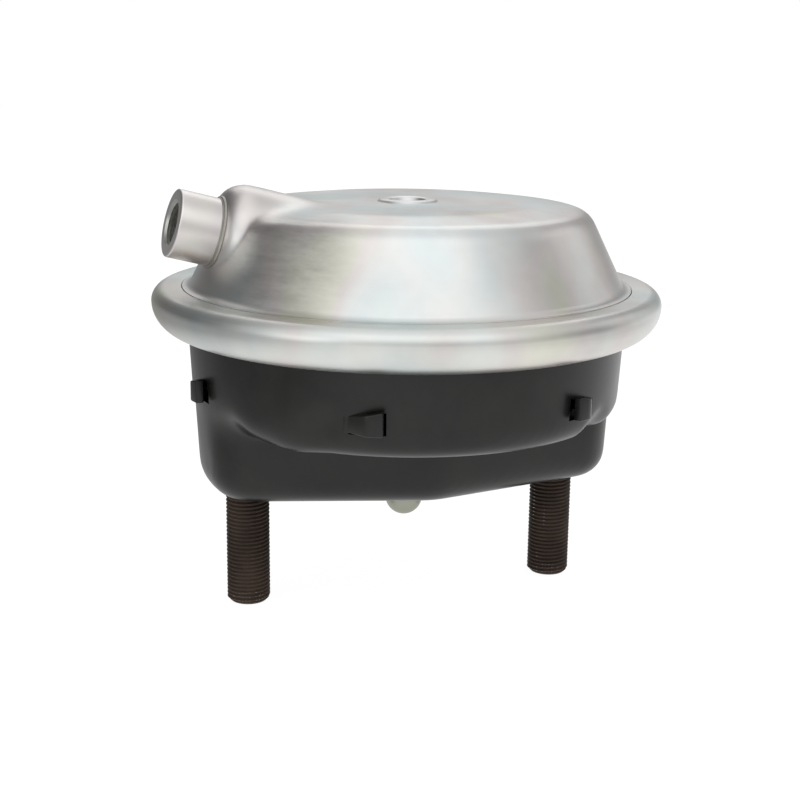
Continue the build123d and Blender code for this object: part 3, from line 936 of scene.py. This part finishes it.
def mix(tree, factor, first, second, blend="MIX"):
    """Mixes two colours by a factor, which is a number or a socket."""
    node = tree.nodes.new("ShaderNodeMix")
    node.data_type = "RGBA"
    node.blend_type = blend
    for index, value in ((0, factor), (6, first), (7, second)):
        if isinstance(value, bpy.types.NodeSocket):
            tree.links.new(value, node.inputs[index])
        else:
            node.inputs[index].default_value = value
    return node.outputs[2]


def bump(tree, shader, height, strength, distance):
    """Feeds a height pattern to the shader as bump. distance is in mm."""
    node = add_node(tree, "Bump", {"Height": height}, Strength=strength, Distance=distance * MM)
    tree.links.new(node.outputs["Normal"], shader.inputs["Normal"])


def around_axis(tree, place, along, across):
    """Coordinates that change slowly round the Z axis and fast across it, for marks left by turning."""
    parts = add_node(tree, "SeparateXYZ", {"Vector": place})
    x, y, z = (parts.outputs[k] for k in "XYZ")
    squares = [add_node(tree, "Math", {0: v, 1: v}, operation="MULTIPLY").outputs[0] for v in (x, y)]
    total = add_node(tree, "Math", {0: squares[0], 1: squares[1]}, operation="ADD").outputs[0]
    radius = add_node(tree, "Math", {0: total}, operation="SQRT").outputs[0]
    run = add_node(tree, "Math", {0: radius, 1: z}, operation="SUBTRACT").outputs[0]
    slow = [add_node(tree, "Math", {0: v}, operation="MULTIPLY") for v in (x, y)]
    fast = add_node(tree, "Math", {0: run}, operation="MULTIPLY")
    for node in slow:
        node.inputs[1].default_value = along
    fast.inputs[1].default_value = across
    marks = {0: slow[0].outputs[0], 1: slow[1].outputs[0], 2: fast.outputs[0]}
    return add_node(tree, "CombineXYZ", marks).outputs[0]


# %% [markdown]
# ### Zinc plate
# Bright zinc is a metal with soft reflections. The passivation film over it is thin enough to shimmer in
# faint pink, yellow and green. Rolling and drawing leave fine rings round the axis, and handling leaves dull
# clouds. The cover also has one darker patch beside its bump, streaked along the turning marks: painted
# shade that darkens the cone's left side.

# %% Zinc finishes
def painted_shade_share(tree, place, centre, reach):
    """Share from 0 to 1 of a patch of painted shade round a centre in mm, streaked along the turning marks.
    """
    apart = add_node(tree, "VectorMath", {0: place}, operation="DISTANCE")
    apart.inputs[1].default_value = tuple(v * MM for v in centre)
    edge, core = reach * MM, 0.35 * reach * MM
    patch = add_node(tree, "MapRange", {"Value": apart.outputs["Value"]}, From_Min=edge, From_Max=core)
    patch.interpolation_type = "SMOOTHSTEP"
    streaks = noise(tree, around_axis(tree, place, 48.0, 150.0), 1.0, 7.0, 0.72)
    both = {0: patch.outputs["Result"], 1: remap(tree, streaks, -0.30, 1.40)}
    return add_node(tree, "Math", both, operation="MULTIPLY", use_clamp=True).outputs[0]


FILM_COLOURS = (
    (0.28, (0.88, 1.0, 0.94)),
    (0.40, (0.92, 0.98, 1.0)),
    (0.50, (1.0, 1.0, 0.98)),
    (0.59, (1.0, 0.91, 0.90)),
    (0.68, (1.0, 0.98, 0.84)),
)
# Tone that darkens the cover's patch of painted shade.
PAINTED_SHADE_TONE = (0.58, 0.58, 0.57, 1.0)


def zinc(name, tone, roughness, ring_strength, shimmer, painted_shade=None):
    """Zinc plated steel with rings, clouds, a faint shimmer of colour and sometimes a patch of painted shade.
    """
    material, tree, shader, place = start_finish(name, Metallic=1.0)
    rings = noise(tree, around_axis(tree, place, 12.0, 1500.0), 1.0, 4.0, 0.6)
    clouds = noise(tree, place, 22.0, 4.0, 0.55)
    flattened = add_node(tree, "Mapping", {"Vector": place}, Scale=(1.0, 1.0, 0.35)).outputs[0]
    film_colour = ramp(tree, noise(tree, flattened, 28.0, 2.0), FILM_COLOURS)
    light = tuple(v * 1.06 for v in tone)
    dark = tuple(v * 0.86 for v in tone)
    base = ramp(tree, clouds, [(0.32, dark), (0.62, light)])
    coloured = mix(tree, shimmer, base, mix(tree, 1.0, base, film_colour, "MULTIPLY"))
    # A darker patch of painted shade on the cover, mixed in where its share says.
    if painted_shade:
        dimmed = mix(tree, 1.0, coloured, PAINTED_SHADE_TONE, "MULTIPLY")
        coloured = mix(tree, painted_shade_share(tree, place, *painted_shade), coloured, dimmed)
    tree.links.new(coloured, shader.inputs["Base Color"])
    dull = add_node(tree, "Math", {0: rings, 1: clouds}, operation="ADD").outputs[0]
    half = add_node(tree, "Math", {0: dull}, operation="MULTIPLY")
    half.inputs[1].default_value = 0.5
    dulling = remap(tree, half.outputs[0], roughness - 0.10, roughness + 0.12)
    tree.links.new(dulling, shader.inputs["Roughness"])
    bump(tree, shader, rings, ring_strength, 0.02)
    return material


finishes = {
    # The cover's patch of painted shade: its centre and reach in mm.
    "zinc_cover": zinc("zinc_cover", (0.70, 0.70, 0.685), 0.36, 0.35, 0.75, ((-55.0, -45.0, 90.0), 31.0)),
    "zinc_ring": zinc("zinc_ring", (0.69, 0.70, 0.68), 0.38, 0.25, 0.75),
    "zinc_turned": zinc("zinc_turned", (0.72, 0.71, 0.70), 0.34, 0.4, 0.6),
    # Darker zinc for the tapped bore: painted shade inside it.
    "zinc_thread": zinc("zinc_thread", (0.60, 0.61, 0.58), 0.30, 0.2, 0.2),
    "zinc_rod": zinc("zinc_rod", (0.34, 0.35, 0.30), 0.42, 0.2, 0.3),
}
print("zinc finishes:", len(finishes))

# %% [markdown]
# ### Paint, phosphate, weld and rubber
# The housing's black paint is half glossy and slightly uneven, like orange peel. The studs have a dark brown
# phosphate that holds oil. The weld is a dull grey. Rubber is matt, with a fine grain and some dust.

# %% Dark finishes
def coated(name, dark, light, roughness, grain, depth, metallic):
    """Non-shiny or half-glossy coating: two tones in clouds, and a grain that also gives the bump."""
    material, tree, shader, place = start_finish(name, Metallic=metallic)
    clouds = noise(tree, place, 35.0, 5.0, 0.6)
    tree.links.new(ramp(tree, clouds, [(0.35, dark), (0.68, light)]), shader.inputs["Base Color"])
    peel = noise(tree, place, grain, 3.0, 0.5)
    tree.links.new(remap(tree, clouds, roughness - 0.06, roughness + 0.10), shader.inputs["Roughness"])
    bump(tree, shader, peel, 0.5, depth)
    return material


# Each coating: dark tone, light tone, roughness, scale of its grain, depth of the grain in mm, metal share.
COATINGS = {
    "black_paint": ((0.0035, 0.0035, 0.003), (0.0135, 0.0130, 0.0110), 0.30, 620.0, 0.02, 0.0),
    "phosphate": ((0.036, 0.023, 0.016), (0.096, 0.064, 0.046), 0.55, 1800.0, 0.03, 0.3),
    "weld": ((0.30, 0.29, 0.26), (0.50, 0.48, 0.44), 0.45, 900.0, 0.15, 0.85),
    "plain_steel": ((0.36, 0.36, 0.36), (0.48, 0.48, 0.475), 0.36, 1200.0, 0.02, 1.0),
    "spring_steel": ((0.07, 0.075, 0.085), (0.14, 0.15, 0.16), 0.42, 1500.0, 0.02, 0.8),
    "rubber": ((0.016, 0.016, 0.016), (0.034, 0.034, 0.033), 0.72, 2200.0, 0.03, 0.0),
    "diaphragm_rubber": ((0.02, 0.02, 0.021), (0.04, 0.04, 0.041), 0.66, 1400.0, 0.06, 0.0),
}
PAINT_GLOSS = 0.40
for name, recipe in COATINGS.items():
    finishes[name] = coated(name, *recipe)
paint_shader = finishes["black_paint"].node_tree.nodes["Principled BSDF"]
paint_shader.inputs["Specular IOR Level"].default_value = PAINT_GLOSS
print("finishes:", len(finishes))

# %% [markdown]
# Every piece takes the finish of its material slot: the new pieces by name, and the nodes that stay from the
# solid model by the slot that the record gives them.

# %% Putting the finishes on
def dress(piece, finish):
    """Gives a piece one finish in all its material slots."""
    if not piece.data.materials:
        piece.data.materials.append(finish)
    for i in range(len(piece.data.materials)):
        piece.data.materials[i] = finish


NEW_PIECES = {
    "housing_shell": "black_paint",
    "pressure_cover_dressed": "zinc_cover",
    "clamp_ring_dressed": "zinc_ring",
    "cover_plug_dressed": "zinc_turned",
    "stud_left_threaded": "phosphate",
    "stud_right_threaded": "phosphate",
    "port_boss_threaded": "zinc_turned",
    "port_weld_bead": "weld",
    "diaphragm_moulded": "diaphragm_rubber",
    "boot_moulded": "rubber",
    "return_spring_wound": "spring_steel",
}
for name, slot in NEW_PIECES.items():
    dress(bpy.data.objects[name], finishes[slot])
# The bore's darker zinc is painted shade.
boss.data.materials[1] = finishes["zinc_thread"]
for part in frame["record"]["subparts"]:
    node = frame["nodes"][part["node"]]
    for i in range(len(node.material_slots)):
        node.material_slots[i].material = finishes[part["material_slot"]]

# %% [markdown]
# ## Floor, background and light
# The floor is a plain white sheet. It glows for the camera and in reflections, so that it looks white while
# the lamps stay at a plain level, and it keeps the chamber's shadow. In reflections its glow fades towards
# two sides, like a sheet that ends there, and that gives the zinc its darker sides.

# %% Floor
FLOOR_GLOW = 1.12
FLOOR_GLOW_SHARE = 0.85
start_piece()
bpy.ops.mesh.primitive_plane_add(size=8.0, location=(0, 0, STUD_END_Z * MM))
floor = finish_primitive("floor")
sheet = bpy.data.materials.new("floor_white")
sheet.use_nodes = True
tree = sheet.node_tree
tree.nodes.clear()
matt = add_node(tree, "BsdfDiffuse", Color=(0.9, 0.9, 0.9, 1.0))
path = add_node(tree, "LightPath")
spot = add_node(tree, "TexCoord").outputs["Object"]


def floor_fade(direction, start, end, loss):
    """Light that the floor loses in one direction, from a start to an end distance in metres."""
    reach = add_node(tree, "VectorMath", {0: spot}, operation="DOT_PRODUCT")
    reach.inputs[1].default_value = direction
    span = add_node(tree, "MapRange", {"Value": reach.outputs["Value"]}, From_Min=start, From_Max=end)
    span.interpolation_type = "SMOOTHSTEP"
    span.inputs["To Max"].default_value = loss
    return span.outputs["Result"]


back_left = floor_fade((-0.866, 0.5, 0.0), 0.0, 0.40, 0.85)
front_right = floor_fade((0.8, -0.6, 0.0), 0.20, 0.42, 0.32)
faded = add_node(tree, "Math", {0: back_left, 1: front_right}, operation="ADD").outputs[0]
loss = add_node(tree, "Math", {0: faded, 1: path.outputs["Is Glossy Ray"]}, operation="MULTIPLY")
strength = add_node(tree, "Math", {1: loss.outputs[0]}, operation="SUBTRACT")
strength.inputs[0].default_value = FLOOR_GLOW
glow = add_node(tree, "Emission", {"Strength": strength.outputs[0]}, Color=(1.0, 1.0, 1.0, 1.0))
direct = [path.outputs["Is Camera Ray"], path.outputs["Is Glossy Ray"]]
either = add_node(tree, "Math", {0: direct[0], 1: direct[1]}, operation="MAXIMUM").outputs[0]
share = add_node(tree, "Math", {0: either}, operation="MULTIPLY")
share.inputs[1].default_value = FLOOR_GLOW_SHARE
blend = add_node(tree, "MixShader", {0: share.outputs[0], 1: matt.outputs[0], 2: glow.outputs[0]})
add_node(tree, "OutputMaterial", {"Surface": blend.outputs[0]})
floor.data.materials.append(sheet)
print("floor at", STUD_END_Z, "mm")

# %% [markdown]
# The room is white where the camera sees it. What lights the chamber is a softer room, brightest in front and
# above, and darker at its left and right, because metal shows its form by what it reflects.

# %% Room
world = bpy.data.worlds.new("studio")
bpy.context.scene.world = world
world.use_nodes = True
tree = world.node_tree
tree.nodes.clear()
path = add_node(tree, "LightPath")
direction = add_node(tree, "TexCoord").outputs["Generated"]


def towards(azimuth, elevation, near, far, low, high):
    """Value that goes from low to high as a direction comes within far and near of a point in the room."""
    a, e = math.radians(azimuth), math.radians(elevation)
    point = (math.cos(e) * math.cos(a), math.cos(e) * math.sin(a), math.sin(e))
    lobe = add_node(tree, "VectorMath", {0: direction}, operation="DOT_PRODUCT")
    lobe.inputs[1].default_value = point
    span = add_node(tree, "MapRange", {"Value": lobe.outputs["Value"]}, From_Min=far, From_Max=near)
    span.interpolation_type = "SMOOTHSTEP"
    span.inputs["To Min"].default_value = low
    span.inputs["To Max"].default_value = high
    return span.outputs["Result"]


front = towards(-107, 75, 0.75, 0.10, 0.47, 1.10)
left_shade = towards(135, 28, 0.96, 0.62, 1.0, 0.20)
right_shade = towards(5, 24, 0.92, 0.50, 1.0, 0.58)
shades = add_node(tree, "Math", {0: left_shade, 1: right_shade}, operation="MULTIPLY").outputs[0]
strength = add_node(tree, "Math", {0: front, 1: shades}, operation="MULTIPLY").outputs[0]
room = add_node(tree, "Background", {"Strength": strength}, Color=(0.97, 0.985, 1.0, 1.0))
white = add_node(tree, "Background", Color=(1.0, 1.0, 1.0, 1.0), Strength=1.0)
views = {0: path.outputs["Is Camera Ray"], 1: room.outputs[0], 2: white.outputs[0]}
seen = add_node(tree, "MixShader", views)
add_node(tree, "OutputWorld", {"Surface": seen.outputs[0]})
print("room:", world.name)

# %% [markdown]
# Four large soft lamps give the zinc broad, calm reflections. The strongest stands behind the chamber and
# lifts its far edges, and the other three are weak, so that no pale surface turns plain white.

# %% Lamps
AIM = Vector((0, 0, 0.05))
LAMPS = (
    ("key", (-0.2, -0.9, 1.1), (1.5, 1.0), 1.4),
    ("left_wall", (-1.2, -0.7, 0.3), (0.5, 0.6), 1.2),
    ("right_wall", (1.2, 0.2, 0.4), (0.8, 1.0), 1.4),
    ("back", (0.3, 1.2, 1.0), (1.4, 0.7), 2.5),
)


def softbox(name, place, size, power):
    """Rectangular lamp at a place in metres that faces the chamber."""
    data = bpy.data.lights.new(name, "AREA")
    data.shape = "RECTANGLE"
    data.size, data.size_y = size
    data.energy = power
    lamp = bpy.data.objects.new(name, data)
    bpy.context.scene.collection.objects.link(lamp)
    lamp.location = place
    lamp.rotation_euler = (AIM - Vector(place)).to_track_quat("-Z", "Y").to_euler()


for lamp in LAMPS:
    softbox(*lamp)
print("lamps:", len(LAMPS))
